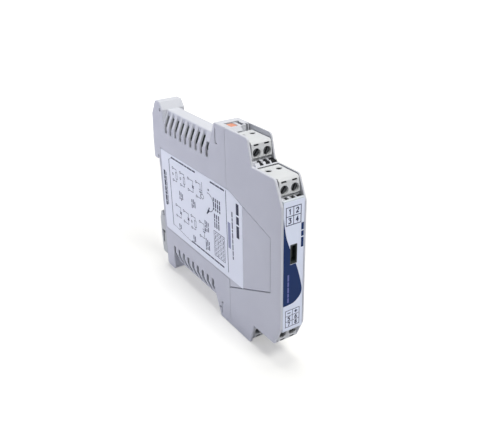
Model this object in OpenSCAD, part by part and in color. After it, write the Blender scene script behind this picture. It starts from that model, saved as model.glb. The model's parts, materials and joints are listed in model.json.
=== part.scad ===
// Rail-mounted temperature transmitter: a slim two-part housing with stepped terminal levels,
// plug-in screw terminals, a vented rear half and a spring catch for a 35 mm mounting rail.
// X runs along the rail, Y from the front face back to the rail, Z is up.
// The origin is the middle of the rail seat. Most pieces are drawn by their depth from the front face.

/* [Housing] */
// Width along the rail
width = 12.5; // [10.4:0.1:16]
// Height over the top and bottom shoulders
height = 100.1; // [82:0.1:125]
// Depth from the front face to the rail seat
seat_depth = 108.5; // [90:0.5:135]
// Depth of the joint between the front half and the base half
seam_depth = 40.6; // [40:0.1:44]
// Thickness of the side walls
side_wall = 1; // [0.8:0.05:1.3]
// Thickness of the other walls
wall = 1.2; // [0.9:0.05:1.5]
// Chamfer along the outer edges
edge = 0.35; // [0.1:0.05:0.6]
// Clearance between pieces that seat in each other
gap = 0.1; // [0.05:0.01:0.15]
// Shadow gap at the joint of the two halves
seam_gap = 0.16; // [0.05:0.01:0.3]

/* [Terminal levels] */
// Drop from the shoulder's top to where the front edge starts to slant
slant_drop = 21.5; // [20:0.05:26]
// Drop from the shoulder's top to the front shield's top
shield_drop = 11.25; // [10:0.05:12]
// Depth of the front shield's upper corner
front_corner = 4.6; // [4:0.1:7]
// Depth where the rear shield starts to rise
rise_start = 20.6; // [20:0.1:22]
// Depth of the rear shield's upper corner
rear_corner = 23.5; // [22:0.1:26]
// Drop from the shoulder's top to the front bay's floor
bay_drop = 19.45; // [18:0.05:20.5]
// Step back from the front level to the rear level
step_back = 18.8; // [18.5:0.1:20]
// Step up from the front level to the rear level
step_up = 9.6; // [9:0.1:10]
// Depth of the front bay
bay_depth = 19.7; // [19.2:0.1:20.5]

/* [Shoulder] */
// Depth of the shoulder's rear corner
shoulder_depth = 49.7; // [48:0.1:54]
// Run back of the shoulder's slanted rear face, for each unit of drop
shoulder_run = 0.445; // [0.2:0.005:0.7]
// Depth of the tongue slit in the shoulder
slit_depth = 48.4; // [46:0.1:49]
// Width of the tongue slit
slit_w = 0.6; // [0.4:0.1:1]

/* [Vents] */
// Drop from the shoulder's top to the bend of the side wall
bend_drop = 13.75; // [12:0.05:16]
// Drop from the shoulder's top to the ridge
ridge_drop = 6.6; // [5:0.05:8]
// Width of the flat ridge
ridge_w = 6.5; // [4:0.1:8]
// Depth of the first slot's middle
vent_first = 57; // [57:0.1:60]
// Distance from slot to slot
vent_pitch = 5.13; // [4:0.01:8]
// Width of a slot below the bend
vent_w = 2.1; // [1:0.1:3]
// Extra width of a slot above the bend, towards the front
vent_flare = 0.8; // [0:0.1:1.4]
// Drop from the shoulder's top to a slot's lower end
vent_drop = 17.9; // [16:0.1:20]
// Width of the web that carries the ridge between opposite slots
vent_web = 6.9; // [3:0.1:7.4]

/* [Rail mount] */
// Height of the mounting rail
rail_h = 35; // [35]
// Thickness of the rail's flange, with play
rail_slot = 1.2; // [1:0.05:1.6]
// Reach of the fixed hook and of the catch behind the seat
hook_reach = 5.5; // [4.5:0.1:7]
// Overlap of the hook and the catch over the rail's flange
hook_lap = 1.9; // [1.2:0.1:2.4]
// Play of the rail between the hook and the catch
rail_play = 0.2; // [0.1:0.05:0.4]
// Length of the solid block at the rear of the housing
block_len = 8.4; // [8.2:0.1:12]
// Height of the rear block's top above the ridge
block_rise = 3.7; // [2:0.1:5]
// Distance of the catch's lower end below the rail's middle
catch_low = 41.6; // [38:0.1:46]
// Travel of the catch when it is pulled down
catch_travel = 3; // [2:0.1:3.5]
// Width of the catch's guide tongue
tongue_w = 7.2; // [5:0.1:8]
// Outer diameter of the catch's spring
spring_d = 3; // [2:0.1:3.4]
// Thickness of the spring's wire
spring_wire = 0.5; // [0.3:0.05:0.6]

/* [Terminal plugs] */
// Distance between a plug's two poles
pole_pitch = 5.08; // [4.5:0.01:5.08]
// Depth of the front plug's face
plug_face = 3; // [2.6:0.1:4]
// Length of a plug's body
plug_len = 16.5; // [16:0.1:16.6]
// Height of a plug's body
plug_h = 7.8; // [7:0.1:8.2]
// Lean of a plug's face
plug_lean = 0.6; // [0:0.1:1]
// Diameter of a terminal screw's head
screw_head_d = 3.1; // [2.8:0.1:3.4]
// Diameter of the well around a terminal screw
screw_well_d = 3.8; // [3.4:0.1:4.2]
// Distance of the screw heads behind the plug's face
screw_sunk = 1.1; // [0.6:0.1:1.4]
// Diameter of a terminal screw's thread
screw_d = 2.5; // [2:0.1:3]
// Height of the screws above the plug's underside
screw_up = 3.2; // [2.8:0.1:3.6]
// Diameter of a wire entry
wire_d = 2.4; // [2:0.1:3]
// Distance of the wire entries behind the plug's face
wire_back = 10.9; // [10:0.1:12]

/* [Front] */
// Thickness of the front panel
panel_t = 1.5; // [1:0.1:2]
// Height of the data socket's middle above the housing's middle
usb_up = 6.5; // [-10:0.1:14]
// Height and width of the data socket's shell
usb_size = [3.3, 8.8]; // [2:0.1:9.4]
// Thickness of the labels
label_t = 0.12; // [0.05:0.01:0.2]

/* [Circuit board] */
// Thickness of the board
board_t = 1.6; // [1:0.1:1.6]
// Clearance around the board's edge
board_gap = 0.5; // [0.3:0.1:1]

/* [Hidden] */
$fn = 48;

half_w = width / 2;
half_h = height / 2;
inner_w = width - 2 * side_wall;
half_in = inner_w / 2;
eps = 0.01;
// More than enough to cut right through the width
through = width + 4;

// Colours, as the photo shows them
housing_col = [0.80, 0.80, 0.86];
plug_col = [0.93, 0.94, 0.94];
catch_col = [0.60, 0.62, 0.57];
lever_col = [0.93, 0.42, 0.16];
label_col = [0.88, 0.89, 0.97];
steel_col = [0.62, 0.63, 0.64];
brass_col = [0.75, 0.72, 0.62];
header_col = [0.18, 0.19, 0.20];
board_col = [0.10, 0.38, 0.22];
chip_col = [0.09, 0.09, 0.10];
ferrite_col = [0.22, 0.21, 0.20];

// Heights from the middle, from the drops below the shoulder's top
slant_z = half_h - slant_drop;
shield_z = half_h - shield_drop;
bay_z = half_h - bay_drop;
bend_z = half_h - bend_drop;
ridge_z = half_h - ridge_drop;
vent_z = half_h - vent_drop;

// Depth of the shoulder's slanted rear face at height z
function shoulder_at(z) = shoulder_depth + shoulder_run * (half_h - z);

// Rear levels of the bays
rear_bay_z = bay_z + step_up;
rear_bay_end = bay_depth + step_back;

// A plug's nose and the header that takes it
nose_w = inner_w - 1.9;
nose_z = [bay_z + 0.9, bay_z + 5.6];
nose_end = bay_depth + wall + 4.4;
header_d = [bay_depth + wall + gap, bay_depth + wall + 6.4];
header_z = [nose_z[0] - 0.8, nose_z[1] + 0.5];

// Rear block and rail seat
block_d = seat_depth - block_len;
block_z = ridge_z + block_rise;
slot_top = rail_h / 2 + rail_play;
hook_z = rail_h / 2 + rail_play - hook_lap - 0.3;
catch_top = -rail_h / 2 - rail_play;
nose_top = -rail_h / 2 + hook_lap;

// Points with radii: [depth, height, radius], rounded into an outline
arc_steps = 5;
function unit(v) = v / norm(v);
function corner(p0, p1, p2, r) =
    let (a = unit(p0 - p1), b = unit(p2 - p1), half = acos(min(1, max(-1, a * b))) / 2)
    r <= 0 || half > 89 ? [p1] :
    let (centre = p1 + unit(a + b) * r / sin(half),
         from = p1 + a * r / tan(half) - centre,
         to = p1 + b * r / tan(half) - centre,
         a0 = atan2(from[1], from[0]),
         turn = (atan2(to[1], to[0]) - a0 + 540) % 360 - 180)
    [for (i = [0 : arc_steps]) centre + r * [cos(a0 + turn * i / arc_steps), sin(a0 + turn * i / arc_steps)]];
function rounded(p) =
    let (n = len(p), q = [for (v = p) [v[0], v[1]]])
    [for (i = [0 : n - 1]) each corner(q[(i + n - 1) % n], q[i], q[(i + 1) % n], p[i][2])];

// Pieces are drawn by depth from the front face, and stand with the rail seat at the origin
module placed() translate([0, -seat_depth, 0]) children();

// An outline in depth and height, run across the width from x0 to x1
module across(x0, x1)
    translate([x0, 0, 0]) rotate([90, 0, 90]) linear_extrude(x1 - x0) children();

// An outline in width and height, run back from depth d0 to d1
module back(d0, d1)
    translate([0, d1, 0]) rotate([90, 0, 0]) linear_extrude(d1 - d0) children();

// A convex outline across the whole width, with chamfered edges
module shell_slab(points)
    hull() {
        across(-half_w + edge, half_w - edge) polygon(points);
        across(-half_w, half_w) offset(delta = -edge) polygon(points);
    }

// A box from corner to corner
module block(a, b) translate(a) cube(b - a);

module both_ends() { children(); mirror([0, 0, 1]) children(); }
module both_sides() { children(); mirror([1, 0, 0]) children(); }

// The four plug places: their module is drawn for the front plug at the top
module at_top_front() children();
module at_top_rear() translate([0, step_back, step_up]) children();
module at_bottom_front() mirror([0, 0, 1]) children();
module at_bottom_rear() mirror([0, 0, 1]) translate([0, step_back, step_up]) children();

// Recess for the side label: slanted on the front half, straight on the base half
field_depth = 0.2;
field_top = 22.7;
field_low = -24;
field_front = 7.3;
field_seam_low = -29.4;
field_front_z = [12.5, -13.9];
field_rear = seat_depth - 1.7;
field_points = [
    [seam_depth + 2, field_top + 0.6], [field_front, field_front_z[0]],
    [field_front, field_front_z[1]], [seam_depth + 2, field_seam_low]];
groove_w = 0.45;
groove_depth = 0.3;

// Pocket across the joint, with slots at its rear and its far side, and the lever in it
pocket_x = 3.6;
pocket_d = [seam_depth - 1.3, seam_depth + 4.7];
pocket_deep = 1.1;
pocket_floor = half_h - pocket_deep;
pocket_slot = 1.3;
side_slot = [1.3, 2.9];
lever_x = [-3.5, -0.3];
lever_z = [pocket_floor + 0.15, half_h - 0.15];
lever_front = pocket_d[0] + gap;
pivot_d = pocket_d[1] - 1.7;
pivot_z = half_h - 0.65;
pivot_r = 0.35;
pivot_reach = 0.5;
tooth_x = [-2.7, -1.4];
tooth_d = [pivot_d - 2.2, pivot_d - 1.4];
// Room that the tooth needs in front as it lifts
tooth_sweep = 1.3;
// Tongue of the front half, which the tooth holds under the pocket's floor
tongue_top_z = pocket_floor - wall - gap;
tongue_low_z = header_z[1] + step_up + gap;

low_points = rounded([
    [0, -slant_z, 2.5], [0, slant_z, 2.5], [front_corner, shield_z, 1.6],
    [seam_depth + 4, shield_z, 0], [seam_depth + 4, -shield_z, 0], [front_corner, -shield_z, 1.6]]);
rise = (rear_corner - rise_start) / shield_drop;
high_points = rounded([
    [rise_start - rise * 4, shield_z - 4, 0], [rear_corner, half_h, 1.8], [seam_depth + 4, half_h, 0],
    [seam_depth + 4, -half_h, 0], [rear_corner, -half_h, 1.8], [rise_start - rise * 4, 4 - shield_z, 0]]);

// Free space inside the front half, open at the joint
module front_cavity() {
    across(-half_in, half_in) polygon([
        [-1, wall - bay_z], [-1, bay_z - wall], [bay_depth + wall, bay_z - wall],
        [bay_depth + wall, rear_bay_z - wall], [rear_bay_end + wall, rear_bay_z - wall],
        [rear_bay_end + wall, pocket_floor - wall], [seam_depth + 5, pocket_floor - wall],
        [seam_depth + 5, wall - pocket_floor], [rear_bay_end + wall, wall - pocket_floor],
        [rear_bay_end + wall, wall - rear_bay_z], [bay_depth + wall, wall - rear_bay_z],
        [bay_depth + wall, wall - bay_z]]);
}

// Bays for the two plugs of one end, with the windows to their headers
module bays() {
    block([-half_in, -1, bay_z], [half_in, bay_depth, half_h + 1]);
    block([-half_in, bay_depth - eps, rear_bay_z], [half_in, rear_bay_end, half_h + 1]);
    header_window();
    ledge_notches(1.4);
    translate([0, step_back, step_up]) header_window();
}

// Notches in a bay's floor, under the plug's face and some way in front of it
module ledge_notches(reach) for (x = [[-3.1, -1.5], [-0.2, 1.8], [2.5, half_in]])
    block([x[0], plug_face - reach, bay_z - wall - 1], [x[1], plug_face + 0.9, bay_z + 1]);

// Slope behind a plug, from the level above down to the plug's top
module bay_slope(top, x1) across(-half_in - eps, x1) polygon([
    [bay_depth + eps, top], [bay_depth - 1.55, bay_z + plug_h + 0.25], [bay_depth - 1.3, bay_z + plug_h - 0.05],
    [bay_depth + eps, bay_z + plug_h - 1.2]]);

module header_window()
    block([-nose_w / 2 - 2 * gap, bay_depth - 1, nose_z[0] - 2 * gap],
          [nose_w / 2 + 2 * gap, bay_depth + wall + 1, nose_z[1] + 2 * gap]);

// A hole around the lever's tooth, with room for its swing
module tooth_hole(room)
    block([tooth_x[0] - gap, tooth_d[0] - room, tongue_low_z - 1], [tooth_x[1] + gap, tooth_d[1] + gap, half_h]);

module lock_tongue() difference() {
    block([lever_x[0] + 0.1, rear_bay_end + wall - eps, tongue_low_z], [lever_x[1], tooth_d[1] + 1.2, tongue_top_z]);
    tooth_hole(1.05);
}

module lever_pocket() {
    block([lever_x[0] - gap, pocket_d[0], pocket_floor], [lever_x[1] + gap, pocket_d[1], half_h + 1]);
    // slots through the shoulder's top
    block([-pocket_x, pocket_d[1] - pocket_slot, pocket_floor - wall - 1], [pocket_x, pocket_d[1], half_h + 1]);
    block([side_slot[0], pocket_d[0], pocket_floor - wall - 1], [side_slot[1], pocket_d[1], half_h + 1]);
    tooth_hole(tooth_sweep);
    // bores for the lever's pins
    translate([lever_x[0] - pivot_reach - gap, pivot_d, pivot_z]) rotate([0, 90, 0])
        cylinder(h = lever_x[1] - lever_x[0] + 2 * (pivot_reach + gap), r = pivot_r + 0.05);
}

// Notches in the front edge of the shoulder's top, behind the rear plug
module shoulder_notches() for (x = [[3.3, 4.2], [4.7, half_in]])
    block([x[0], rear_bay_end - eps, header_z[1] + step_up + 2 * gap], [x[1], rear_bay_end + 1.5, half_h + 1]);

// Groove along the edge of the side label's field
module field_groove() across(-half_w - 1, field_depth + groove_depth - half_w) difference() {
    polygon(field_points);
    offset(delta = -groove_w) polygon(field_points);
}

module front_housing() color(housing_col) placed() difference() {
    union() {
        difference() {
            union() {
                shell_slab(low_points);
                shell_slab(high_points);
            }
            block([-through, seam_depth - seam_gap / 2, -height], [through, seam_depth + 10, height]);
            front_cavity();
            both_ends() bays();
            // seat of the front panel
            block([-half_in, -1, -bay_z], [half_in, panel_t + gap, bay_z]);
        }
        // collar that enters the base half
        both_sides() block([half_in - 0.9, seam_depth - 3, -collar_z], [half_in + eps, seam_depth - 1, collar_z]);
        both_sides() block([half_in - 0.9, seam_depth - 2, -collar_z], [half_in - gap, seam_depth + 2.4, collar_z]);
        // stops behind the front panel
        both_sides() for (z = [-20, -7, 18])
            block([half_in - 0.8, panel_t + gap, z], [half_in + eps, panel_t + 2, z + 3]);
        both_ends() {
            lock_tongue();
            bay_slope(rear_bay_z, half_in + eps);
            translate([0, step_back, step_up]) bay_slope(half_h - step_up, 0.6);
        }
    }
    both_ends() {
        lever_pocket();
        shoulder_notches();
        translate([0, step_back, step_up]) ledge_notches(3.2);
    }
    // shallow field for the side label
    across(-half_w - 1, field_depth - half_w) polygon(field_points);
    field_groove();
    // snap windows for the front panel's clips
    both_ends() block([-2.2, panel_t + 3.4, bay_z - wall - 1], [2.2, panel_t + 5.2, bay_z + 1]);
}
collar_z = 32;

// The base half
module roof_points() polygon(rounded([
    [-half_w, 24, 0], [-half_w, bend_z, 1.2], [-ridge_w / 2, ridge_z, 0.8],
    [ridge_w / 2, ridge_z, 0.8], [half_w, bend_z, 1.2], [half_w, 24, 0]]));

shoulder_points = rounded([
    [seam_depth - 6, half_h, 0], [shoulder_depth, half_h, 1],
    [shoulder_at(bend_z - 4), bend_z - 4, 0], [seam_depth - 6, bend_z - 4, 0]]);
block_points = [
    [block_d + 0.6, 10, 0], [block_d + 0.6, bend_z, 0], [block_d + 0.3, ridge_z, 0.8],
    [seat_depth - 5.2, block_z, 1], [seat_depth - 0.3, block_z, 1.6]];
top_block_points = rounded(concat(block_points, [
    [seat_depth + 4.4, block_z - 7.6, 2], [seat_depth + hook_reach, hook_z + 9, 6],
    [seat_depth + hook_reach, hook_z, 0.4], [seat_depth + 1, hook_z, 0], [seat_depth - 2, 10, 0]]));
bottom_block_points = rounded([
    [block_d + 0.6, 10, 0], [block_d + 0.6, bend_z, 0], [block_d - 0.4, ridge_z, 0.6], [block_d - 0.4, block_z + 0.5, 1.5],
    [seat_depth - 1, block_z + 0.5, 0.6], [seat_depth, block_z - 0.8, 0.8], [seat_depth, 10, 0]]);
body_points = [
    [seam_depth - 6, bend_z], [seat_depth, bend_z], [seat_depth, -bend_z], [seam_depth - 6, -bend_z]];

module base_cavity() {
    // between the side walls
    block([-half_in, seam_depth - 2, wall - bend_z], [half_in, block_d, bend_z - wall]);
    block([-half_in, block_d - 1, -13], [half_in, seat_depth - 1.8, bend_z - wall]);
    both_ends() {
        // under the ridge
        back(seam_depth - 2, block_d) polygon([
            [-half_in, bend_z - wall - 1], [-half_in, bend_z - wall * 0.3], [wall * 0.45 - ridge_w / 2, ridge_z - wall],
            [ridge_w / 2 - wall * 0.45, ridge_z - wall], [half_in, bend_z - wall * 0.3], [half_in, bend_z - wall - 1]]);
        // under the shoulder
        across(-half_in, half_in) polygon([
            [seam_depth - 2, pocket_floor - wall], [shoulder_at(pocket_floor - wall) - 1.1 * wall, pocket_floor - wall],
            [shoulder_at(bend_z) - 1.1 * wall, bend_z], [shoulder_at(bend_z) - 1.1 * wall, bend_z - 2],
            [seam_depth - 2, bend_z - 2]]);
    }
}

vent_count = floor((block_d - vent_w / 2 - 0.3 - vent_first) / vent_pitch) + 1;
module vents() for (i = [0 : vent_count - 1]) let (
        front = vent_first + i * vent_pitch - vent_w / 2,
        top = i == 0 ? bend_z + 2.6 : ridge_z + 1) {
    block([vent_web / 2, front, vent_z], [half_w + 1, front + vent_w, top]);
    block([vent_web / 2, front - vent_flare, bend_z - 0.6], [half_w + 1, front + eps, top]);
}

// Slit beside the shoulder's snap tongue, with its small hook
module tongue_slit() across(-through, through) polygon([
    [slit_depth, half_h - 2.3], [slit_depth + slit_w, half_h - 2.3], [slit_depth + slit_w, half_h - 9.2],
    [slit_depth - 1.2, half_h - 9.2], [slit_depth - 1.2, half_h - 8.7], [slit_depth, half_h - 8.7]]);

// Groove for the catch's tongue, and the pocket for its spring
tongue_top = catch_top - 1;
tongue_t = 1.7;
neck_w = tongue_w - 2.8;
tongue_d = [seat_depth - 3.5, seat_depth - 3.5 + tongue_t];
lug_z = [tongue_top - 3.6, tongue_top - 1.6];
spring_low = lug_z[0] - 12;
spring_axis = tongue_d[0] - 0.1;
module catch_groove() {
    block([-tongue_w / 2 - gap, tongue_d[0] - gap, -height], [tongue_w / 2 + gap, tongue_d[1] + gap, tongue_top + gap]);
    block([-neck_w / 2 - gap, tongue_d[1], -height], [neck_w / 2 + gap, seat_depth + 1, tongue_top + gap]);
    block([-spring_d / 2 - 0.2, spring_axis - spring_d / 2 - 0.3, spring_low],
          [spring_d / 2 + 0.2, tongue_d[1] + gap, tongue_top + gap]);
}

module base_housing() color(housing_col) placed() difference() {
    union() {
        shell_slab(body_points);
        both_ends() shell_slab(shoulder_points);
        shell_slab(top_block_points);
        mirror([0, 0, 1]) shell_slab(bottom_block_points);
        both_ends() back(seam_depth, block_d + 1.5) roof_points();
    }
    block([-through, -1, -height], [through, seam_depth + seam_gap / 2, height]);
    base_cavity();
    both_sides() both_ends() vents();
    both_ends() tongue_slit();
    both_ends() lever_pocket();
    // space for the rail's flange and its upper hook
    block([-through, seat_depth, catch_top - 40], [through, seat_depth + rail_slot, slot_top]);
    block([-through, seat_depth + rail_slot - eps, catch_top - 40], [through, seat_depth + 12, hook_z]);
    catch_groove();
    // field for the side label
    across(-half_w - 1, field_depth - half_w) polygon([
        [seam_depth - 1, field_top], [field_rear, field_top], [field_rear, field_low], [seam_depth - 1, field_low]]);
    // moulded holes in the rear block and in the lower shoulder
    translate([0, seat_depth - 5.4, block_z - 4]) rotate([0, 90, 0]) cylinder(h = through, d = 1.7, center = true);
    translate([0, 50, 5.4 - half_h]) rotate([0, 90, 0]) cylinder(h = through, d = 1.5, center = true);
}

module front_panel() color(housing_col) placed() difference() {
    union() {
        block([gap - half_in, 0.12, gap - bay_z], [half_in - gap, panel_t, bay_z - gap]);
        // clips above and below
        both_ends() {
            block([-2, panel_t - eps, bay_z - wall - 1.2], [2, panel_t + 5, bay_z - wall - 0.2]);
            block([-2, panel_t + 3.6, bay_z - wall - 0.5], [2, panel_t + 5, bay_z - 0.6]);
        }
    }
    socket_window();
}

module front_label() color(label_col) placed() difference() {
    block([-half_in + 0.2, 0.12 - label_t, 0.5 - bay_z], [half_in - 0.2, 0.12, bay_z - 0.5]);
    socket_window();
}

module socket_window() translate([0, 0, usb_up])
    block([-usb_size[0] / 2 - gap, -1, -usb_size[1] / 2 - gap], [usb_size[0] / 2 + gap, panel_t + 1, usb_size[1] / 2 + gap]);

label_top = field_top - 0.7;
label_low = field_low + 0.7;
module side_label() color(label_col) placed()
    across(field_depth - half_w - label_t, field_depth - half_w) polygon([
        [field_rear - 0.5, label_top], [39, label_top], [28.3, 18.5], [29, label_low], [field_rear - 0.5, label_low]]);

// The catch: a plate behind the seat, a nose over the rail's edge and a tongue in the groove
module foot_catch() color(catch_col) placed() difference() {
    union() {
        across(gap - half_w, half_w - gap) polygon(rounded([
            [seat_depth + gap, catch_top - 0.1, 0], [seat_depth + rail_slot + 0.2, catch_top - 0.1, 0],
            [seat_depth + rail_slot + 0.2, nose_top + 0.3, 0], [seat_depth + rail_slot + 0.8, nose_top, 0.3],
            [seat_depth + rail_slot + 2.2, nose_top, 0.6], [seat_depth + hook_reach, nose_top - 5, 2],
            [seat_depth + hook_reach, -30, 8], [seat_depth + hook_reach - 0.6, 1 - catch_low, 1.2],
            [seat_depth + hook_reach - 1.4, -catch_low, 0.5], [seat_depth + gap, -catch_low, 0.5]]));
        block([-neck_w / 2, tongue_d[1] - eps, 0.6 - catch_low], [neck_w / 2, seat_depth + 0.5, tongue_top]);
        block([-tongue_w / 2, tongue_d[0], 0.6 - catch_low], [tongue_w / 2, tongue_d[1], tongue_top]);
        block([-spring_d / 2, spring_axis - spring_d / 2, lug_z[0]], [spring_d / 2, tongue_d[0] + eps, lug_z[1]]);
    }
    // window for the spring in the tongue
    block([-spring_d / 2 - 0.2, tongue_d[0] - 1, spring_low - catch_travel - 1],
          [spring_d / 2 + 0.2, tongue_d[1] + eps, lug_z[0]]);
    // opening beside the catch's pull end
    across(-through, through) polygon(rounded([
        [seat_depth + 0.9, -27.4, 0.2], [seat_depth + 4.2, -27.4, 0.2], [seat_depth + 4.2, -29, 0.2],
        [seat_depth + 3.6, -29, 0], [seat_depth + 3.6, -35.2, 0.3], [seat_depth + 2.1, -35.2, 0.3],
        [seat_depth + 2.1, -29, 0], [seat_depth + 0.9, -29, 0.2]]));
}

// A coil of round wire, swept ring by ring along its helix
function helix_point(r, rise, turns, t) = [r * cos(360 * turns * t), r * sin(360 * turns * t), rise * t];
module coil(r, wire_r, rise, turns) {
    rings = turns * 10;
    sides = 8;
    points = [for (i = [0 : rings]) let (
            p = helix_point(r, rise, turns, i / rings),
            out = [cos(360 * turns * i / rings), sin(360 * turns * i / rings), 0])
        for (k = [0 : sides - 1]) p + wire_r * (cos(360 * k / sides) * out + [0, 0, sin(360 * k / sides)])];
    faces = concat(
        [[for (k = [0 : sides - 1]) k]],
        [for (i = [0 : rings - 1], k = [0 : sides - 1])
            let (a = i * sides + k, b = i * sides + (k + 1) % sides) [a, a + sides, b + sides, b]],
        [[for (k = [sides - 1 : -1 : 0]) rings * sides + k]]);
    polyhedron(points, faces, convexity = 8);
}
spring_turns = 7;
module foot_spring() color(steel_col) placed()
    translate([0, spring_axis, spring_low + spring_wire / 2 + 0.05])
        coil(spring_d / 2 - spring_wire / 2, spring_wire / 2, lug_z[0] - spring_low - spring_wire - 0.1, spring_turns);

// The lever locks the halves by its tooth, and lifts about its rear pin
module release_lever() {
    block([lever_x[0], lever_front, lever_z[0]], [lever_x[1], pivot_d + pivot_r, lever_z[1]]);
    block([tooth_x[0], tooth_d[0], tongue_low_z + 0.1], [tooth_x[1], tooth_d[1], lever_z[0] + eps]);
    translate([lever_x[0] - pivot_reach, pivot_d, pivot_z]) rotate([0, 90, 0])
        cylinder(h = lever_x[1] - lever_x[0] + 2 * pivot_reach, r = pivot_r);
}
module release_lever_top() color(lever_col) placed() release_lever();
module release_lever_bottom() color(lever_col) placed() mirror([0, 0, 1]) release_lever();

// A plug, drawn at the front place of the top end
plug_w = inner_w - 0.8;
plug_back = plug_face + plug_len - plug_lean;
pole_x = pole_pitch / 2;
cage = [4.2, 4.6, 3.6];
cage_d = plug_face + wire_back - cage[1] / 2;
cage_z = bay_z + 1.3;
module plug_points() polygon(rounded([
    [plug_face + 1.2, bay_z + gap, 0], [plug_face, bay_z + 1.3, 0.3], [plug_face + plug_lean, bay_z + plug_h - 0.9, 0.3],
    [plug_face + plug_lean + 0.9, bay_z + plug_h, 0.3], [plug_back - 1.2, bay_z + plug_h, 0.4],
    [plug_back, bay_z + plug_h - 1.4, 0.4], [plug_back, bay_z + gap, 0]]));

module plug() difference() {
    union() {
        across(-plug_w / 2, plug_w / 2) plug_points();
        block([-nose_w / 2, plug_back - 1, nose_z[0]], [nose_w / 2, nose_end, nose_z[1]]);
    }
    for (x = [-pole_x, pole_x]) translate([x, 0, 0]) {
        // screw well
        translate([0, 0, bay_z + screw_up]) rotate([-90, 0, 0]) cylinder(h = cage_d + 0.4, d = screw_well_d);
        // wire entry and its funnel
        translate([0, plug_face + wire_back, cage_z + 1]) cylinder(h = plug_h, d = wire_d);
        translate([0, plug_face + wire_back, bay_z + plug_h - 0.4]) cylinder(h = 0.5, d1 = wire_d, d2 = wire_d + 0.5);
        // chamber for the clamp
        block([-cage[0] / 2 - gap, cage_d - gap, cage_z - gap],
              [cage[0] / 2 + gap, cage_d + cage[1] + gap, cage_z + cage[2] + gap]);
        // slot for a test probe
        block([-1.2, plug_face - 1, bay_z + plug_h - 1.75], [1.2, plug_face + 4.4, bay_z + plug_h - 0.95]);
        // contact cavity in the nose
        block([-1, cage_d + cage[1], pin_z - 1], [1, bay_depth + wall + 6, pin_z + 1]);
    }
}
pin_z = (nose_z[0] + nose_z[1]) / 2;
pin_t = 1;

module terminal_screws() for (x = [-pole_x, pole_x])
    translate([x, plug_face + screw_sunk, bay_z + screw_up]) rotate([-90, 0, 0]) difference() {
        union() {
            cylinder(h = 1.6, d = screw_head_d);
            cylinder(h = cage_d - plug_face + 0.6, d = screw_d);
        }
        rotate([0, 0, x < 0 ? 128 : 112]) block([-screw_head_d, -0.35, -1], [screw_head_d, 0.35, 0.8]);
    }

// Wire clamp: a cage open to the wire, and the contact that runs from it into the nose
module clamps() for (x = [-pole_x, pole_x]) translate([x, 0, 0]) {
    difference() {
        block([-cage[0] / 2, cage_d, cage_z], [cage[0] / 2, cage_d + cage[1], cage_z + cage[2]]);
        block([0.6 - cage[0] / 2, cage_d + 1.6, cage_z + 0.5], [cage[0] / 2 - 0.6, cage_d + cage[1] - 0.7, cage_z + cage[2] + 1]);
        translate([0, cage_d - 1, bay_z + screw_up]) rotate([-90, 0, 0]) cylinder(h = 3, d = screw_d);
    }
    difference() {
        block([-0.85, cage_d + cage[1] + eps, pin_z - 0.85], [0.85, nose_end - 0.5, pin_z + 0.85]);
        block([-pin_t / 2, cage_d + cage[1] + 4, pin_z - pin_t / 2], [pin_t / 2, bay_depth + wall + 6, pin_z + pin_t / 2]);
    }
}

// A board header, which takes the plug's nose
module header() difference() {
    block([-half_in + gap, header_d[0], header_z[0]], [half_in - gap, header_d[1], header_z[1]]);
    block([-nose_w / 2 - gap, header_d[0] - 1, nose_z[0] - gap], [nose_w / 2 + gap, header_d[1] - 1.6, nose_z[1] + gap]);
    for (x = [-pole_x, pole_x]) translate([x, 0, 0])
        block([-pin_t / 2, header_d[1] - 3, pin_z - pin_t / 2], [pin_t / 2, header_d[1] + 1, pin_z + pin_t / 2]);
}

pin_foot = [header_d[1] + 0.9, header_d[1] + 2.6];
module pins() for (i = [0, 1]) mirror([i, 0, 0]) {
    block([pole_x - pin_t / 2, header_d[0] + 2, pin_z - pin_t / 2], [pole_x + pin_t / 2, pin_foot[i] + pin_t, pin_z + pin_t / 2]);
    block([-board_t / 2 - 0.8, pin_foot[i], pin_z - pin_t / 2], [pole_x, pin_foot[i] + pin_t, pin_z + pin_t / 2]);
}

// The circuit board, around the headers and up under the shoulders
board_wing = header_d[1] + 0.3;
function board_half() = [
    [panel_t + 2.5, bay_z - wall - 1.7], [board_wing, bay_z - wall - 1.7], [board_wing, rear_bay_z - wall - board_gap],
    [board_wing + step_back, rear_bay_z - wall - board_gap], [board_wing + step_back, pin_z + step_up + 1.2],
    [board_wing + step_back + 3.2, pin_z + step_up + 1.2],
    [board_wing + step_back + 4.4, ridge_z - wall - board_gap], [block_d - board_gap, ridge_z - wall - board_gap]];
module main_board() color(board_col) placed() difference() {
    across(-board_t / 2, board_t / 2)
        polygon(concat(board_half(), [for (i = [7 : -1 : 0]) [board_half()[i][0], -board_half()[i][1]]]));
    block([-2, 0, usb_up - usb_size[1] / 2 - gap], [2, usb_front + usb_len, usb_up + usb_size[1] / 2 + gap]);
    both_ends() { pin_holes(); translate([0, step_back, step_up]) pin_holes(); }
    block([-2, transformer_d[0] + 2, -transformer_h / 2 + 2], [2, transformer_d[1] - 2, transformer_h / 2 - 2]);
}
module pin_holes() for (i = [0, 1])
    block([-2, pin_foot[i] - 0.05, pin_z - pin_t / 2 - 0.05], [2, pin_foot[i] + pin_t + 0.05, pin_z + pin_t / 2 + 0.05]);

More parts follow.
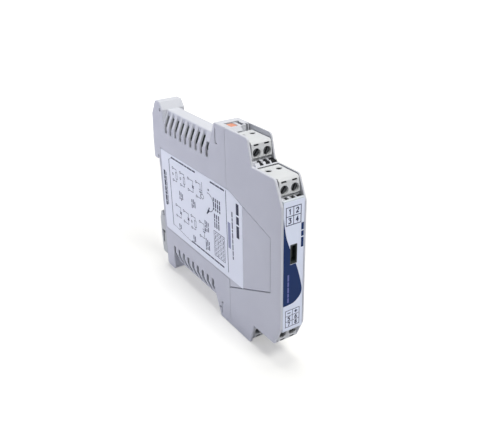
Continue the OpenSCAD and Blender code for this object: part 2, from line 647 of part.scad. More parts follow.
usb_front = 0.25;
usb_len = 9.2;
usb_wall = 0.35;
module usb_socket() color(header_col) placed() translate([0, usb_front, usb_up]) {
    difference() {
        block([-usb_size[0] / 2, 0, -usb_size[1] / 2], [usb_size[0] / 2, usb_len, usb_size[1] / 2]);
        // shaped mouth, narrower along one side
        back(-1, usb_len - 1) polygon([
            [usb_wall - usb_size[0] / 2, usb_wall * 3 - usb_size[1] / 2], [0, usb_wall * 2 - usb_size[1] / 2],
            [usb_size[0] / 2 - usb_wall, usb_wall * 2 - usb_size[1] / 2], [usb_size[0] / 2 - usb_wall, usb_size[1] / 2 - usb_wall * 2],
            [0, usb_size[1] / 2 - usb_wall * 2], [usb_wall - usb_size[0] / 2, usb_size[1] / 2 - usb_wall * 3]]);
    }
    block([-0.1, 1.6, -2.6], [0.8, usb_len - 0.5, 2.6]);
}

transformer_at = max(block_d - 34, seam_depth + 17.5);
transformer_d = [transformer_at, transformer_at + 16];
transformer_h = 16;
module transformer() color(ferrite_col) placed() difference() {
    block([-half_in + 0.9, transformer_d[0], -transformer_h / 2], [half_in - 0.9, transformer_d[1], transformer_h / 2]);
    block([-board_t / 2 - 0.05, transformer_d[0] - 1, -20], [board_t / 2 + 0.05, transformer_d[0] + 2.1, 20]);
    block([-board_t / 2 - 0.05, transformer_d[1] - 2.1, -20], [board_t / 2 + 0.05, transformer_d[1] + 1, 20]);
    for (z = [-1, 1]) block([-board_t / 2 - 0.05, transformer_d[0] - 1, z > 0 ? transformer_h / 2 - 2.1 : -20],
                            [board_t / 2 + 0.05, transformer_d[1] + 1, z > 0 ? 20 : 2.1 - transformer_h / 2]);
}

module chip(at, size, t) translate([-board_t / 2 - 0.02, at[0], at[1]]) block([-t, 0, 0], [0, size[0], size[1]]);
module converter_chip() color(chip_col) placed() chip([seam_depth + 6, -5], [10, 10], 1.6);
module logic_chips() color(chip_col) placed() {
    chip([28, 8], [6, 5], 1.6);
    chip([28, -16], [6, 5], 1.6);
    chip([block_d - 12, 10], [5, 6], 1.6);
}
module capacitors() color(brass_col) placed() {
    chip([16, -10], [7.3, 4.3], 2.9);
    chip([block_d - 12, -16], [7.3, 4.3], 2.9);
    chip([block_d - 43, 16], [7.3, 4.3], 2.9);
}

base_housing();
front_housing();
front_panel();
front_label();
side_label();
foot_catch();
foot_spring();
release_lever_top();
release_lever_bottom();
color(plug_col) placed() at_top_front() plug();  // plug_top_front
color(plug_col) placed() at_top_rear() plug();  // plug_top_rear
color(plug_col) placed() at_bottom_front() plug();  // plug_bottom_front
color(plug_col) placed() at_bottom_rear() plug();  // plug_bottom_rear
color(steel_col) placed() at_top_front() terminal_screws();  // screws_top_front
color(steel_col) placed() at_top_rear() terminal_screws();  // screws_top_rear
color(steel_col) placed() at_bottom_front() terminal_screws();  // screws_bottom_front
color(steel_col) placed() at_bottom_rear() terminal_screws();  // screws_bottom_rear
color(brass_col) placed() at_top_front() clamps();  // clamps_top_front
color(brass_col) placed() at_top_rear() clamps();  // clamps_top_rear
color(brass_col) placed() at_bottom_front() clamps();  // clamps_bottom_front
color(brass_col) placed() at_bottom_rear() clamps();  // clamps_bottom_rear
color(header_col) placed() at_top_front() header();  // header_top_front
color(header_col) placed() at_top_rear() header();  // header_top_rear
color(header_col) placed() at_bottom_front() header();  // header_bottom_front
color(header_col) placed() at_bottom_rear() header();  // header_bottom_rear
color(steel_col) placed() at_top_front() pins();  // pins_top_front
color(steel_col) placed() at_top_rear() pins();  // pins_top_rear
color(steel_col) placed() at_bottom_front() pins();  // pins_bottom_front
color(steel_col) placed() at_bottom_rear() pins();  // pins_bottom_rear
main_board();
usb_socket();
transformer();
converter_chip();
logic_chips();
capacitors();
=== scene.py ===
"""Looks of a rail-mounted temperature transmitter.

It gives the model's pieces their plastics, metals and coatings, prints the two films, adds the small
pieces that show in the openings, most of them dark to paint the shade there, and the catch's wound
spring, and sets the floor, light and camera.

Lengths are in millimetres until MM makes metres of them, but the floor and the lamps are placed in
metres. The side print is drawn by depth from the front face and height, the front print by place
across the width and height. X runs along the rail, Y from the front back, and Z up.
"""

import json
import math

import bmesh
import bpy
from mathutils import Matrix, Vector


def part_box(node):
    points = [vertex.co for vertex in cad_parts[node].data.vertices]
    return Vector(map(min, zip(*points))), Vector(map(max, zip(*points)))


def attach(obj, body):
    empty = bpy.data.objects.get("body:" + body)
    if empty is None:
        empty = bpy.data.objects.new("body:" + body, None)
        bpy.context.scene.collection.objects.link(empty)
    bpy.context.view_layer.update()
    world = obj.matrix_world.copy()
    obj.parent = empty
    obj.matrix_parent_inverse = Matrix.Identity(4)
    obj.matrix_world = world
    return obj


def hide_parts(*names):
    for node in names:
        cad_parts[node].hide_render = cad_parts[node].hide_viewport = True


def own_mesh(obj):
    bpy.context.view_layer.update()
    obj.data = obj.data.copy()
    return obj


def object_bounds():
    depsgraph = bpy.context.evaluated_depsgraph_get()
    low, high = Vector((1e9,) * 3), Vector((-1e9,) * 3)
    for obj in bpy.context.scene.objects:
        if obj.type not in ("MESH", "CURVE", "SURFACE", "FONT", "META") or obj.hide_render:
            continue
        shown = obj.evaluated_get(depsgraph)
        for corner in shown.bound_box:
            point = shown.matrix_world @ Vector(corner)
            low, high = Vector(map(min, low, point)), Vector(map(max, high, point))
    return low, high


MM = 0.001

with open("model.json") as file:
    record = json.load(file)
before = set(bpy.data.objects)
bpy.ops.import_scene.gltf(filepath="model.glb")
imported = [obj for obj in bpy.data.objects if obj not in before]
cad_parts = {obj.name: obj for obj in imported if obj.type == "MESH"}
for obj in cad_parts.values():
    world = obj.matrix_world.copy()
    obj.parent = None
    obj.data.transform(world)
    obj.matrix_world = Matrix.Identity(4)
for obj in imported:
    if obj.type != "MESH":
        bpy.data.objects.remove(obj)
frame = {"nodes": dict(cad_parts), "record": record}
nodes = frame["nodes"]
cad_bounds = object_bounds()

# Sizes that the drawn pieces share with the model. Depths are counted from the front face
SEAT_DEPTH = 108.5
FRONT_FACE_Y = -SEAT_DEPTH
SIDE_FILM_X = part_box("side_label")[0].x / MM
GROOVE_FLOOR_X = -5.75
POCKET_FLOOR_Z = 48.95
WALL = 1.2
INNER_HALF = 5.25
NOTCHES = ((-3.1, -1.5), (-0.2, 1.8), (2.5, INNER_HALF))
# The front film's window for the socket: its height and its two half sizes
SOCKET_UP = 6.5
WINDOW_HALF = (1.75, 4.5)
# The plugs, and the floors of the bays that they stand over. PLUG_HEIGHT is counted from a bay's floor
POLE_X = 2.54
PLUG_GAP = 0.1
PLUG_HEIGHT = 7.8
PLUG_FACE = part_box("plug_top_front")[0].y / MM + SEAT_DEPTH
PLUG_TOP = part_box("plug_top_front")[1].z / MM
STEP_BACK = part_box("plug_top_rear")[0].y / MM + SEAT_DEPTH - PLUG_FACE
FRONT_BAY_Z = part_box("plug_top_front")[0].z / MM - PLUG_GAP
REAR_BAY_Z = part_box("plug_top_rear")[0].z / MM - PLUG_GAP


# Camera


def add_camera():
    """The photograph's camera: its place, its three axes and its lens."""
    data = bpy.data.cameras.new("photo_camera")
    data.sensor_width = 36
    data.lens = 45.49
    data.clip_start = 0.01
    camera = bpy.data.objects.new("photo_camera", data)
    bpy.context.scene.collection.objects.link(camera)
    right = Vector((0.84238, -0.53839, -0.02288))
    up = Vector((0.25608, 0.36258, 0.89608))
    back = Vector((-0.47415, -0.76071, 0.44330))
    turn = Matrix((right, up, back)).transposed()
    place = Vector((-130.10, -277.20, 127.15)) * MM
    camera.matrix_world = Matrix.Translation(place) @ turn.to_4x4()
    bpy.context.scene.camera = camera


add_camera()


# Shader groups


def shader_group(name, inputs, outputs):
    """An empty shader group with named sockets, and its input and output nodes."""
    group = bpy.data.node_groups.new(name, "ShaderNodeTree")
    for label, kind, value in inputs:
        socket = group.interface.new_socket(label, in_out="INPUT", socket_type=kind)
        socket.default_value = value
    for label, kind in outputs:
        group.interface.new_socket(label, in_out="OUTPUT", socket_type=kind)
    return group, group.nodes.new("NodeGroupInput"), group.nodes.new("NodeGroupOutput")


def feed(tree, value, socket):
    """Links a socket, or sets a plain number or colour."""
    if isinstance(value, bpy.types.NodeSocket):
        tree.links.new(value, socket)
    else:
        socket.default_value = value


def math_node(tree, operation, first, second=None, clamp=False):
    """A Math node's output. Each operand is a socket or a number."""
    node = tree.nodes.new("ShaderNodeMath")
    node.operation = operation
    node.use_clamp = clamp
    feed(tree, first, node.inputs[0])
    if second is not None:
        feed(tree, second, node.inputs[1])
    return node.outputs[0]


def noise(tree, vector, scale, detail=3.0, roughness=0.6):
    """A noise of scale grains a metre, as a socket or a number."""
    node = tree.nodes.new("ShaderNodeTexNoise")
    tree.links.new(vector, node.inputs["Vector"])
    feed(tree, scale, node.inputs["Scale"])
    node.inputs["Detail"].default_value = detail
    node.inputs["Roughness"].default_value = roughness
    return node.outputs["Fac"]


def ramp(tree, value, low, high):
    """value mapped from low..high to 0..1, held at both ends."""
    node = tree.nodes.new("ShaderNodeMapRange")
    tree.links.new(value, node.inputs["Value"])
    node.inputs["From Min"].default_value = low
    node.inputs["From Max"].default_value = high
    return node.outputs["Result"]


def object_place(tree):
    """The point on the surface, in the object's own metres."""
    return tree.nodes.new("ShaderNodeTexCoord").outputs["Object"]


def moulded_grain_group(flow_share=0.7):
    """Spark-eroded mould texture: a fine grain, a soft sink and flow pattern, and a faint tone."""
    group, given, out = shader_group(
        "moulded_grain",
        [("Grain per metre", "NodeSocketFloat", 5200.0)],
        [("Height", "NodeSocketFloat"), ("Tone", "NodeSocketFloat"), ("Gloss", "NodeSocketFloat")],
    )
    place = object_place(group)
    fine = noise(group, place, given.outputs["Grain per metre"])
    flow = noise(group, place, scale=130.0, detail=2.0, roughness=0.5)
    patch = noise(group, place, scale=38.0, roughness=0.55)
    height = math_node(group, "ADD", fine, math_node(group, "MULTIPLY", flow, flow_share))
    group.links.new(height, out.inputs["Height"])
    group.links.new(ramp(group, patch, low=0.3, high=0.7), out.inputs["Tone"])
    group.links.new(ramp(group, flow, low=0.3, high=0.75), out.inputs["Gloss"])
    return group


def soft_edge_group():
    """Moulded edges are never sharp: a rounded normal, and a mask of where the edge is."""
    group, given, out = shader_group(
        "soft_edge",
        [("Radius", "NodeSocketFloat", 0.25 * MM)],
        [("Edge", "NodeSocketFloat"), ("Normal", "NodeSocketVector")],
    )
    bevel = group.nodes.new("ShaderNodeBevel")
    bevel.samples = 6
    group.links.new(given.outputs["Radius"], bevel.inputs["Radius"])
    dot = group.nodes.new("ShaderNodeVectorMath")
    dot.operation = "DOT_PRODUCT"
    geometry = group.nodes.new("ShaderNodeNewGeometry")
    group.links.new(bevel.outputs["Normal"], dot.inputs[0])
    group.links.new(geometry.outputs["Normal"], dot.inputs[1])
    turned = math_node(group, "SUBTRACT", 1.0, dot.outputs["Value"])
    group.links.new(ramp(group, turned, low=0.01, high=0.3), out.inputs["Edge"])
    group.links.new(bevel.outputs["Normal"], out.inputs["Normal"])
    return group


def corner_dirt_and_shade_group():
    """Dirt and painted shade in the corners: darker where ambient occlusion finds a corner, in patches."""
    group, given, out = shader_group(
        "corner_dirt_and_shade",
        [("Reach", "NodeSocketFloat", 1.5 * MM)],
        [("Dirt and shade", "NodeSocketFloat")],
    )
    corner = group.nodes.new("ShaderNodeAmbientOcclusion")
    corner.samples = 6
    group.links.new(given.outputs["Reach"], corner.inputs["Distance"])
    specks = noise(group, object_place(group), scale=420.0, detail=4.0)
    patch = ramp(group, specks, low=0.35, high=0.75)
    closed = math_node(group, "SUBTRACT", 1.0, corner.outputs["AO"])
    dust_and_shade = math_node(group, "MULTIPLY", ramp(group, closed, low=0.25, high=0.9), patch)
    group.links.new(dust_and_shade, out.inputs["Dirt and shade"])
    return group


def rolled_metal_group(stretch=(1.0, 0.06, 1.0)):
    """Drawn and plated metal: streaks along Y and a cloudy plating."""
    group, given, out = shader_group(
        "rolled_metal",
        [("Streaks per metre", "NodeSocketFloat", 2600.0)],
        [("Height", "NodeSocketFloat"), ("Cloud", "NodeSocketFloat")],
    )
    place = object_place(group)
    squeeze = group.nodes.new("ShaderNodeMapping")
    squeeze.inputs["Scale"].default_value = stretch
    group.links.new(place, squeeze.inputs["Vector"])
    streak = noise(group, squeeze.outputs["Vector"], given.outputs["Streaks per metre"])
    cloud = noise(group, place, scale=700.0)
    group.links.new(streak, out.inputs["Height"])
    group.links.new(ramp(group, cloud, low=0.3, high=0.7), out.inputs["Cloud"])
    return group


def board_copper_group(patches_per_metre=90.0, bare_share=0.55):
    """Copper tracks under the board's coating: bands along the board, turned patch by patch."""
    group, given, out = shader_group(
        "board_copper",
        [("Tracks per metre", "NodeSocketFloat", 700.0)],
        [("Copper", "NodeSocketFloat")],
    )
    place = object_place(group)
    cells = group.nodes.new("ShaderNodeTexVoronoi")
    cells.distance = "CHEBYCHEV"
    cells.inputs["Scale"].default_value = patches_per_metre
    group.links.new(place, cells.inputs["Vector"])
    parts = group.nodes.new("ShaderNodeSeparateXYZ")
    group.links.new(place, parts.inputs["Vector"])
    tint = group.nodes.new("ShaderNodeSeparateColor")
    group.links.new(cells.outputs["Color"], tint.inputs["Color"])
    lengthways = math_node(group, "GREATER_THAN", tint.outputs["Red"], 0.5)
    upright = math_node(group, "SUBTRACT", 1.0, lengthways)
    along = math_node(group, "MULTIPLY", parts.outputs["Y"], lengthways)
    across = math_node(group, "MULTIPLY", parts.outputs["Z"], upright)
    run = math_node(group, "ADD", along, across)
    wave = math_node(group, "FRACT", math_node(group, "MULTIPLY", run, given.outputs["Tracks per metre"]))
    group.links.new(math_node(group, "GREATER_THAN", wave, bare_share), out.inputs["Copper"])
    return group


GRAIN = moulded_grain_group()
EDGE = soft_edge_group()
DIRT_AND_SHADE = corner_dirt_and_shade_group()
METAL = rolled_metal_group()
COPPER = board_copper_group()


# Materials


def linear(red, green, blue):
    """A colour given in screen numbers, 0 to 255, as the shaders need it."""

    def channel(value):
        value /= 255
        return value / 12.92 if value <= 0.04045 else ((value + 0.055) / 1.055) ** 2.4

    return (channel(red), channel(green), channel(blue), 1.0)


def place_group(tree, group, **values):
    """A shader group's node. Each value goes to the input of its name, with spaces for underscores."""
    node = tree.nodes.new("ShaderNodeGroup")
    node.node_tree = group
    for name, value in values.items():
        node.inputs[name.replace("_", " ")].default_value = value
    return node


def blend_colour(tree, factor, first, second):
    """first where factor is 0, second where it is 1. Each is a socket or a colour."""
    node = tree.nodes.new("ShaderNodeMix")
    node.data_type = "RGBA"
    tree.links.new(factor, node.inputs["Factor"])
    feed(tree, first, node.inputs["A"])
    feed(tree, second, node.inputs["B"])
    return node.outputs["Result"]


def shade(colour, factor):
    """A lighter or darker colour."""
    return tuple(channel * factor for channel in colour[:3]) + (1.0,)


def new_material(name):
    """A material, its node tree and its shader."""
    material = bpy.data.materials.new(name)
    material.use_nodes = True
    shader = material.node_tree.nodes["Principled BSDF"]
    return material, material.node_tree, shader


def vary_tone(tree, tone, colour, darkest, lightest):
    """The colour, varied over the surface between two factors of its lightness."""
    return blend_colour(tree, tone, shade(colour, darkest), shade(colour, lightest))


def add_gloss(tree, shader, mask, spread, roughness):
    """Roughness, and spread more of it where the mask is 1."""
    more = math_node(tree, "MULTIPLY", mask, spread)
    tree.links.new(math_node(tree, "ADD", more, roughness), shader.inputs["Roughness"])


def add_bump(tree, shader, height, strength, distance, normal=None):
    """A bump of distance millimetres by height, over a rounded normal where there is one."""
    bump = tree.nodes.new("ShaderNodeBump")
    bump.inputs["Strength"].default_value = strength
    bump.inputs["Distance"].default_value = distance * MM
    tree.links.new(height, bump.inputs["Height"])
    if normal is not None:
        tree.links.new(normal, bump.inputs["Normal"])
    tree.links.new(bump.outputs["Normal"], shader.inputs["Normal"])


# Plastics: how far the gloss varies, how far the edges are rubbed smoother and paler as wear and
# painted highlight, and the dust with painted shade in corners
GLOSS_SPREAD = 0.12
EDGE_POLISH = 0.12
EDGE_WEAR_AND_HIGHLIGHT = 0.35
WORN_AND_HIGHLIT_TONE = 1.12
PLASTIC_IOR = 1.49
DIRT_AND_SHADE_GREY = linear(150, 146, 138)
# Metals: brighter edges as wear and painted highlight, and grime with painted shade in the corners
BRIGHT_WEAR_AND_HIGHLIGHT_TONE = 1.15
GRIME_AND_SHADE_SHARE = 0.6
METAL_GRIME_AND_SHADE = linear(70, 66, 60)


def plastic(name, colour, roughness=0.5, grain=0.25, radius=0.4, dust_and_shade=0.25, shine=0.5):
    """Moulded plastic: grain and soft edges in the normal, edges paler as wear and painted highlight, dust
    and painted shade in corners.
    """
    material, tree, shader = new_material(name)
    texture = place_group(tree, GRAIN)
    edge = place_group(tree, EDGE, Radius=radius * MM)
    corner_dirt_and_shade = place_group(tree, DIRT_AND_SHADE)
    toned = vary_tone(tree, texture.outputs["Tone"], colour, darkest=0.97, lightest=1.02)
    # Paler edges: wear, with a painted highlight along every edge
    worn_and_highlit = math_node(tree, "MULTIPLY", edge.outputs["Edge"], EDGE_WEAR_AND_HIGHLIGHT)
    paler = blend_colour(tree, worn_and_highlit, toned, shade(colour, WORN_AND_HIGHLIT_TONE))
    # Dust colour with painted shade, darker in the corners
    dusty_and_shaded = math_node(tree, "MULTIPLY", corner_dirt_and_shade.outputs["Dirt and shade"], dust_and_shade)
    tree.links.new(blend_colour(tree, dusty_and_shaded, paler, DIRT_AND_SHADE_GREY), shader.inputs["Base Color"])
    gloss = math_node(tree, "MULTIPLY", texture.outputs["Gloss"], GLOSS_SPREAD)
    spread = math_node(tree, "ADD", gloss, roughness - GLOSS_SPREAD / 2)
    polish = math_node(tree, "MULTIPLY", edge.outputs["Edge"], EDGE_POLISH)
    tree.links.new(math_node(tree, "SUBTRACT", spread, polish), shader.inputs["Roughness"])
    add_bump(tree, shader, texture.outputs["Height"], grain, distance=0.03, normal=edge.outputs["Normal"])
    shader.inputs["Specular IOR Level"].default_value = shine
    shader.inputs["IOR"].default_value = PLASTIC_IOR
    return material


def film(name, colour, roughness=0.34):
    """Printed label film: satin, with a slight waviness."""
    material, tree, shader = new_material(name)
    texture = place_group(tree, GRAIN, Grain_per_metre=2400.0)
    toned = vary_tone(tree, texture.outputs["Tone"], colour, darkest=0.975, lightest=1.0)
    tree.links.new(toned, shader.inputs["Base Color"])
    add_gloss(tree, shader, texture.outputs["Gloss"], spread=0.1, roughness=roughness)
    add_bump(tree, shader, texture.outputs["Height"], strength=0.12, distance=0.02)
    shader.inputs["Coat Weight"].default_value = 0.15
    shader.inputs["Coat Roughness"].default_value = 0.25
    return material


def metal(name, colour, roughness=0.3, depth=0.35, tarnish=0.12):
    """Plated or drawn metal: streaks in the normal, cloudy plating, bright edges as wear and painted
    highlight.
    """
    material, tree, shader = new_material(name)
    texture = place_group(tree, METAL)
    edge = place_group(tree, EDGE, Radius=0.12 * MM)
    corner_dirt_and_shade = place_group(tree, DIRT_AND_SHADE, Reach=0.8 * MM)
    clouded = vary_tone(tree, texture.outputs["Cloud"], colour, darkest=1 - tarnish, lightest=1.0)
    # Brighter edges: wear, with a painted highlight along every edge
    bright = blend_colour(tree, edge.outputs["Edge"], clouded, shade(colour, BRIGHT_WEAR_AND_HIGHLIGHT_TONE))
    # Grime with painted shade, darker in the corners
    grimy_and_shaded = math_node(tree, "MULTIPLY", corner_dirt_and_shade.outputs["Dirt and shade"], GRIME_AND_SHADE_SHARE)
    tree.links.new(blend_colour(tree, grimy_and_shaded, bright, METAL_GRIME_AND_SHADE), shader.inputs["Base Color"])
    shader.inputs["Metallic"].default_value = 1.0
    add_gloss(tree, shader, texture.outputs["Cloud"], spread=0.18, roughness=roughness)
    add_bump(tree, shader, texture.outputs["Height"], depth, distance=0.02, normal=edge.outputs["Normal"])
    return material


def coated_board(name):
    """Glass-fibre board: green coating over copper tracks."""
    material, tree, shader = new_material(name)
    copper = place_group(tree, COPPER)
    texture = place_group(tree, GRAIN, Grain_per_metre=3000.0)
    over_fibre, over_copper, cloudy = linear(14, 50, 38), linear(26, 72, 52), linear(16, 40, 32)
    cloud_share = 0.25
    green = blend_colour(tree, copper.outputs["Copper"], over_fibre, over_copper)
    clouds = math_node(tree, "MULTIPLY", texture.outputs["Tone"], cloud_share)
    tree.links.new(blend_colour(tree, clouds, green, cloudy), shader.inputs["Base Color"])
    shader.inputs["Roughness"].default_value = 0.32
    add_bump(tree, shader, copper.outputs["Copper"], strength=0.5, distance=0.03)
    return material


def ink(name, colour, roughness=0.55, shine=0.25):
    """Matt print on film: slightly uneven, as laid down by a screen."""
    material, tree, shader = new_material(name)
    texture = place_group(tree, GRAIN, Grain_per_metre=7000.0)
    toned = vary_tone(tree, texture.outputs["Tone"], colour, darkest=0.9, lightest=1.08)
    tree.links.new(toned, shader.inputs["Base Color"])
    add_gloss(tree, shader, texture.outputs["Gloss"], spread=0.1, roughness=roughness)
    shader.inputs["Specular IOR Level"].default_value = shine
    return material


finishes = {
    "housing": plastic("housing_plastic", linear(209, 211, 216), roughness=0.5, shine=0.3),
    "panel": plastic("panel_plastic", linear(206, 212, 217), roughness=0.45, shine=0.3),
    "front_label": film("front_film", linear(224, 231, 246)),
    "side_label": film("side_film", linear(243, 248, 255)),
    "catch": plastic("catch_plastic", linear(194, 198, 196), roughness=0.42, grain=0.15),
    "lever": plastic("lever_plastic", linear(216, 140, 108), roughness=0.45, grain=0.12, dust_and_shade=0.15),
    "plug": plastic("plug_plastic", linear(208, 210, 210), roughness=0.42, grain=0.12, radius=0.18),
    "screw_steel": metal("blackened_screw", linear(72, 74, 77), roughness=0.42),
    "spring_steel": metal("spring_wire", linear(170, 172, 174), roughness=0.24, depth=0.15),
    "clamp_brass": metal("nickel_plated_clamp", linear(198, 192, 172), roughness=0.28),
    "pin_brass": metal("tin_plated_pin", linear(206, 202, 190), roughness=0.26, depth=0.15),
    "socket_body": plastic("socket_plastic", linear(23, 33, 32), roughness=0.5, grain=0.1, dust_and_shade=0.1),
    "header": plastic("header_plastic", linear(48, 50, 52), roughness=0.5, grain=0.1, dust_and_shade=0.1),
    "board": coated_board("coated_board"),
    "ferrite": plastic("ferrite", linear(58, 55, 53), roughness=0.6, grain=0.5, dust_and_shade=0.1),
    "chip": plastic("chip_package", linear(32, 33, 35), roughness=0.55, grain=0.3, dust_and_shade=0.1),
    "capacitor": plastic("capacitor_package", linear(190, 152, 70), roughness=0.4, grain=0.1, dust_and_shade=0.1),
}

for part in frame["record"]["subparts"]:
    piece = nodes[part["node"]]
    piece.data.materials.clear()
    piece.data.materials.append(finishes[part["material_slot"]])


# Print

INK = 0.012


def bar(u0, v0, u1, v1):
    """The four corners of a rectangle."""
    return [(u0, v0), (u1, v0), (u1, v1), (u0, v1)]


def stroke(points, width):
    """A pen line through points, as one four-cornered shape for each stretch."""
    shapes = []
    for (u0, v0), (u1, v1) in zip(points, points[1:]):
        length = math.hypot(u1 - u0, v1 - v0)
        du, dv = (u1 - u0) / length * width / 2, (v1 - v0) / length * width / 2
        shapes.append([(u0 - du + dv, v0 - dv - du), (u1 + du + dv, v1 + dv - du),
                       (u1 + du - dv, v1 + dv + du), (u0 - du - dv, v0 - dv + du)])
    return shapes


def frame_line(u0, v0, u1, v1, width):
    """A rectangle's outline as a pen line."""
    return stroke([(u0, v0), (u1, v0), (u1, v1), (u0, v1), (u0, v0)], width)


def disc(u, v, radius, corners=16):
    """The corners of a round shape."""
    turn = 2 * math.pi / corners
    return [(u + radius * math.cos(turn * i), v + radius * math.sin(turn * i)) for i in range(corners)]


def ring(u, v, radius, width, start=0.0, end=360.0, steps=20):
    """A round pen line from start to end, in degrees."""
    points = []
    for i in range(steps + 1):
        angle = math.radians(start + (end - start) * i / steps)
        points.append((u + radius * math.cos(angle), v + radius * math.sin(angle)))
    return stroke(points, width)


# Plain numbers for terminals, as pen lines in a box one unit wide and two units high
DIGITS = {
    1: [[(0.2, 1.6), (0.6, 2), (0.6, 0)]],
    2: [[(0, 1.6), (0.3, 2), (0.8, 2), (1, 1.6), (1, 1.2), (0, 0), (1, 0)]],
    3: [[(0, 2), (1, 2), (0.5, 1.2), (1, 0.8), (1, 0.3), (0.7, 0), (0, 0)]],
    4: [[(0.7, 0), (0.7, 2), (0, 0.7), (1, 0.7)]],
    5: [[(1, 2), (0, 2), (0, 1.2), (0.7, 1.2), (1, 0.8), (1, 0.3), (0.7, 0), (0, 0)]],
    6: [[(0.9, 2), (0.3, 1.8), (0, 1), (0, 0.3), (0.3, 0), (0.7, 0), (1, 0.3), (1, 0.8), (0.7, 1.1),
         (0, 0.9)]],
    7: [[(0, 2), (1, 2), (0.4, 0)]],
    8: [[(0.5, 1.1), (0, 0.7), (0, 0.3), (0.3, 0), (0.7, 0), (1, 0.3), (1, 0.7), (0.5, 1.1), (0.1, 1.4),
         (0.1, 1.8), (0.4, 2), (0.6, 2), (0.9, 1.8), (0.9, 1.4), (0.5, 1.1)]],
}


def digit(number, u, v, height, width):
    """A terminal's number, centred on (u, v)."""
    unit = height / 2
    return [shape for line in DIGITS[number]
            for shape in stroke([(u + (a - 0.5) * unit, v + (b - 1) * unit) for a, b in line], width)]


def prism(mesh, outline, start, end, place):
    """An outline drawn in two directions and run from start to end in the third."""
    low = [mesh.verts.new(Vector(place(a, b, start)) * MM) for a, b in outline]
    high = [mesh.verts.new(Vector(place(a, b, end)) * MM) for a, b in outline]
    mesh.faces.new(low[::-1])
    mesh.faces.new(high)
    for i, corner in enumerate(low):
        after = (i + 1) % len(low)
        mesh.faces.new([corner, low[after], high[after], high[i]])


def pipe(mesh, outer, inner, start, end, place):
    """The space between two outlines of as many corners, run from start to end."""
    rings = [[mesh.verts.new(Vector(place(a, b, at)) * MM) for a, b in outline]
             for outline, at in ((outer, start), (outer, end), (inner, end), (inner, start))]
    for ring_a, ring_b in zip(rings, rings[1:] + rings[:1]):
        for i, corner in enumerate(ring_a):
            after = (i + 1) % len(ring_a)
            mesh.faces.new([corner, ring_a[after], ring_b[after], ring_b[i]])


# Edges that turn more than this are rounded
SHARP_ANGLE = math.radians(35)


def finish_piece(name, mesh, material, softened=0.0):
    """The mesh as an object, with its edges rounded by softened millimetres."""
    bmesh.ops.recalc_face_normals(mesh, faces=mesh.faces)
    if softened:
        sharp = [edge for edge in mesh.edges if edge.calc_face_angle(0.0) > SHARP_ANGLE]
        bmesh.ops.bevel(mesh, geom=sharp, offset=softened * MM, segments=2, profile=0.5, affect="EDGES")
    data = bpy.data.meshes.new(name)
    mesh.to_mesh(data)
    mesh.free()
    data.materials.append(material)
    piece = bpy.data.objects.new(name, data)
    bpy.context.scene.collection.objects.link(piece)
    return piece


def carry(piece, body):
    """Makes a piece move with a body."""
    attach(piece, body)


def print_piece(name, shapes, place, material, start=0.0):
    """Flat shapes as one thin raised layer of ink."""
    mesh = bmesh.new()
    for shape in shapes:
        prism(mesh, shape, start, start + INK, place)
    return finish_piece(name, mesh, material)


def on_side(depth, height, out):
    """A point of the side film, raised by out."""
    return (SIDE_FILM_X - out, depth - SEAT_DEPTH, height)


def on_front(across, height, out):
    """A point of the front film, raised by out."""
    return (across, FRONT_FACE_Y - out, height)


def greek(depth, top, words, height, gap):
    """A line of text without letters, down the label from top: one bar for each word."""
    shapes, at = [], top
    for word in words:
        shapes.append(bar(depth - height / 2, at - word, depth + height / 2, at))
        at -= word + gap
    return shapes


def greek_row(row_height, start, words, height, gap):
    """The same, along the label from start towards the front."""
    shapes, at = [], start
    for word in words:
        shapes.append(bar(at - word, row_height - height / 2, at, row_height + height / 2))
        at -= word + gap
    return shapes


# Widths of the side film's lines, and the radius of a terminal's ring
FINE_LINE = 0.3
RULE_LINE = 0.16
PART_LINE = 2 * FINE_LINE
TERMINAL_RADIUS = 0.55


def scaled(points, depth, height, size):
    """Points of a circuit drawn about (0, 0), with depth counted towards the front."""
    return [(depth - u * size, height + v * size) for u, v in points]


def circuit(depth, height, size, dots, wires, parts=()):
    """Terminals as rings, wires as fine lines and parts as thick lines."""
    shapes = []
    for u, v in scaled(dots, depth, height, size):
        shapes += ring(u, v, TERMINAL_RADIUS, FINE_LINE, steps=12)
    for wire in wires:
        shapes += stroke(scaled(wire, depth, height, size), FINE_LINE)
    for part in parts:
        shapes += stroke(scaled(part, depth, height, size), PART_LINE)
    return shapes


def two_wire_input(depth, height, size):
    """A sensor between two of three terminals."""
    sensor = [(2.1, -1.2), (3.1, -1.2), (3.1, 1.2), (2.1, 1.2), (2.1, -1.2)]
    wires = [[(0.5, 2.2), (2.6, 2.2), (2.6, 1.2)], [(0.5, -2.2), (2.6, -2.2), (2.6, -1.2)], sensor]
    return circuit(depth, height, size, [(0, 2.2), (0, 0), (0, -2.2)], wires)


def junction_input(depth, height, size):
    """Two unlike wires joined at a cross."""
    wires = [[(0.5, 2), (3.2, 2), (3.2, 0.3)], [(3.2, -0.3), (3.2, -2), (0.5, -2)]]
    cross = [[(2.8, 0.3), (3.6, -0.3)], [(2.8, -0.3), (3.6, 0.3)]]
    return circuit(depth, height, size, [(0, 2), (0, -2)], wires, cross)


def current_loop(depth, height, size):
    """A supply in a loop between two terminals."""
    wires = [[(0.5, 3), (3.2, 3), (3.2, 0.7)], [(3.2, -0.2), (3.2, -3), (0.5, -3)]]
    long_plate, short_plate = [(4.3, 0.7), (2.1, 0.7)], [(3.8, -0.2), (2.6, -0.2)]
    return circuit(depth, height, size, [(0, 3), (0, -3)], wires + [long_plate], [short_plate])


